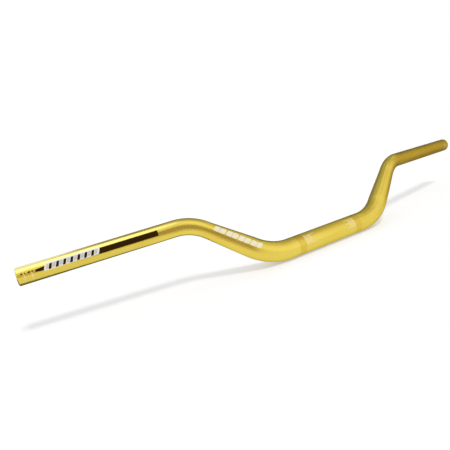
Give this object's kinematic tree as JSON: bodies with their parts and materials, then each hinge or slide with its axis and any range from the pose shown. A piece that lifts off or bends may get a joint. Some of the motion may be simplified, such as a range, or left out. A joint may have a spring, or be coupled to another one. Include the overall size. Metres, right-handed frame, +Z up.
{
  "type": "motocross handlebar",
  "caption": "Wide tapered aluminium handlebar, bent as one tube: thick straight stem section, leaned-back uprights that neck down, and swept grip sections with open ends.",
  "frame": {"origin": "middle of the straight stem section, on the tube's axis", "axes": "+X along the stem section to the clutch side, +Y back to the rider, +Z up; the uprights lean back 27 degrees from +Z, in line with the fork"},
  "size_m": [0.813, 0.1061, 0.0922],
  "materials": {
    "gold_anodised": "satin gold anodised over a fine blasted surface",
    "dark_print": "thin dark brown printed stripe",
    "silver_print": "thin pale silver print",
    "etched_mark": "matt laser-etched lines, paler than the anodising"
  },
  "bodies": {
    "root": {"handlebar": "gold_anodised"}
  },
  "joints": []
}
